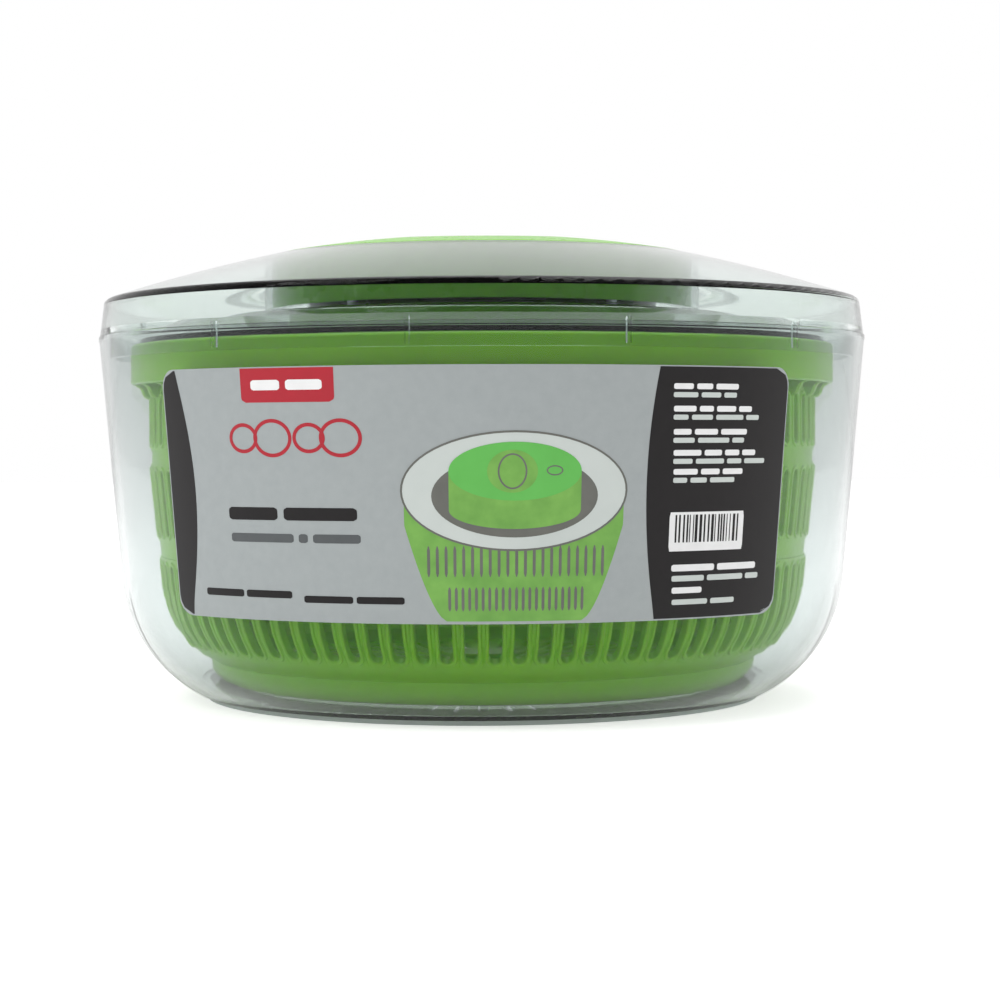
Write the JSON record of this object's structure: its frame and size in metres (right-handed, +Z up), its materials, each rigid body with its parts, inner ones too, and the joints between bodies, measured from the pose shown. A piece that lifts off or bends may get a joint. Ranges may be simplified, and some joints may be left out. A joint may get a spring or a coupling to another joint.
{
  "type": "salad spinner",
  "caption": "Pull-cord salad spinner: clear bowl with a slotted green basket that a cord under a domed clear lid spins, with a recessed pull handle and a stop button.",
  "frame": {"origin": "centre of the flat underside, on the surface the bowl stands on", "axes": "+Z up along the spin axis, -Y towards the front of the bowl where the label is, +X to the right seen from the front"},
  "size_m": [0.26, 0.26, 0.1547],
  "materials": {
    "clear_bowl": "clear moulded plastic, glossy, slightly grey-green",
    "clear_lid": "clear moulded plastic, glossy",
    "clear_disc": "clear moulded plastic, glossy",
    "grip_ring": "pale grey soft non-slip rubber",
    "label_print": "printed film, satin",
    "bearing_plastic": "natural white acetal",
    "basket_green": "moulded green plastic, semi-gloss",
    "cover_green": "moulded green plastic, glossy",
    "housing_green": "moulded green plastic, semi-gloss",
    "handle_green": "moulded green plastic, satin",
    "button_green": "moulded green plastic, satin",
    "spool_plastic": "natural white acetal",
    "cord_fibre": "braided light green polyester cord",
    "screw_steel": "zinc-plated steel",
    "eyelet_steel": "polished nickel plate",
    "spring_steel": "blued spring steel",
    "brake_rubber": "black rubber, matt"
  },
  "bodies": {
    "bowl": {"outer_bowl": "clear_bowl", "base_ring": "grip_ring", "front_label": "label_print"},
    "basket_pivot": {"pivot_cap": "bearing_plastic"},
    "basket": {"salad_basket": "basket_green"},
    "lid": {"lid_shell": "clear_lid", "mechanism_cover": "cover_green", "lower_housing": "housing_green", "housing_screws": "screw_steel", "cord_eyelet": "eyelet_steel", "pulley_pin": "screw_steel", "pull_cord": "cord_fibre", "spool_axle": "screw_steel", "retaining_clip": "spring_steel", "button_spring": "spring_steel"},
    "cord_pulley": {"guide_pulley": "bearing_plastic"},
    "spool": {"cord_spool": "spool_plastic", "cord_winding": "cord_fibre", "recoil_spring": "spring_steel", "clutch_spring": "spring_steel"},
    "disc": {"drive_disc": "clear_disc", "drive_hub": "spool_plastic", "hub_screws": "screw_steel"},
    "handle": {"pull_handle": "handle_green", "handle_base": "handle_green", "cord_knot": "cord_fibre"},
    "brake_button": {"stop_button": "button_green", "brake_pad": "brake_rubber"}
  },
  "joints": [
    {"name": "basket_spin", "type": "hinge", "parent": "bowl", "child": "basket_pivot", "pos_m": [0, 0, 0.01], "axis": [0, 0, 1], "continuous": true},
    {"name": "basket_lift", "type": "slide", "parent": "basket_pivot", "child": "basket", "axis": [0, 0, 1], "range_m": [0, 0.13]},
    {"name": "lid_lift", "type": "slide", "parent": "bowl", "child": "lid", "axis": [0, 0, 1], "range_m": [0, 0.26]},
    {"name": "disc_spin", "type": "hinge", "parent": "lid", "child": "disc", "pos_m": [0, 0, 0.103], "axis": [0, 0, 1], "continuous": true},
    {"name": "pull_cord_pull", "type": "slide", "parent": "lid", "child": "handle", "axis": [0, 0, 1], "range_m": [0, 0.4], "stiffness_N_per_m": 10, "springref_m": -0.3},
    {"name": "spool_spin", "type": "hinge", "parent": "lid", "child": "spool", "pos_m": [0, 0, 0.122], "axis": [0, 0, 1], "continuous": true, "deforming": ["recoil_spring"]},
    {"name": "pulley_spin", "type": "hinge", "parent": "lid", "child": "cord_pulley", "pos_m": [0.00264, 0.03106, 0.1282], "axis": [-0.9141, -0.4054, 0], "continuous": true},
    {"name": "stop_button_press", "type": "slide", "parent": "lid", "child": "brake_button", "axis": [0, 0, -1], "range_m": [0, 0.0035], "stiffness_N_per_m": 800, "springref_m": -0.001, "deforming": ["button_spring"]}
  ],
  "couplings": [
    {"joint": "basket_lift", "follows": "lid_lift", "ratio": 0.5},
    {"joint": "disc_spin", "follows": "basket_spin", "ratio": 1},
    {"joint": "spool_spin", "follows": "pull_cord_pull", "rad_per_m": 66.667},
    {"joint": "pulley_spin", "follows": "pull_cord_pull", "rad_per_m": -153.85}
  ]
}
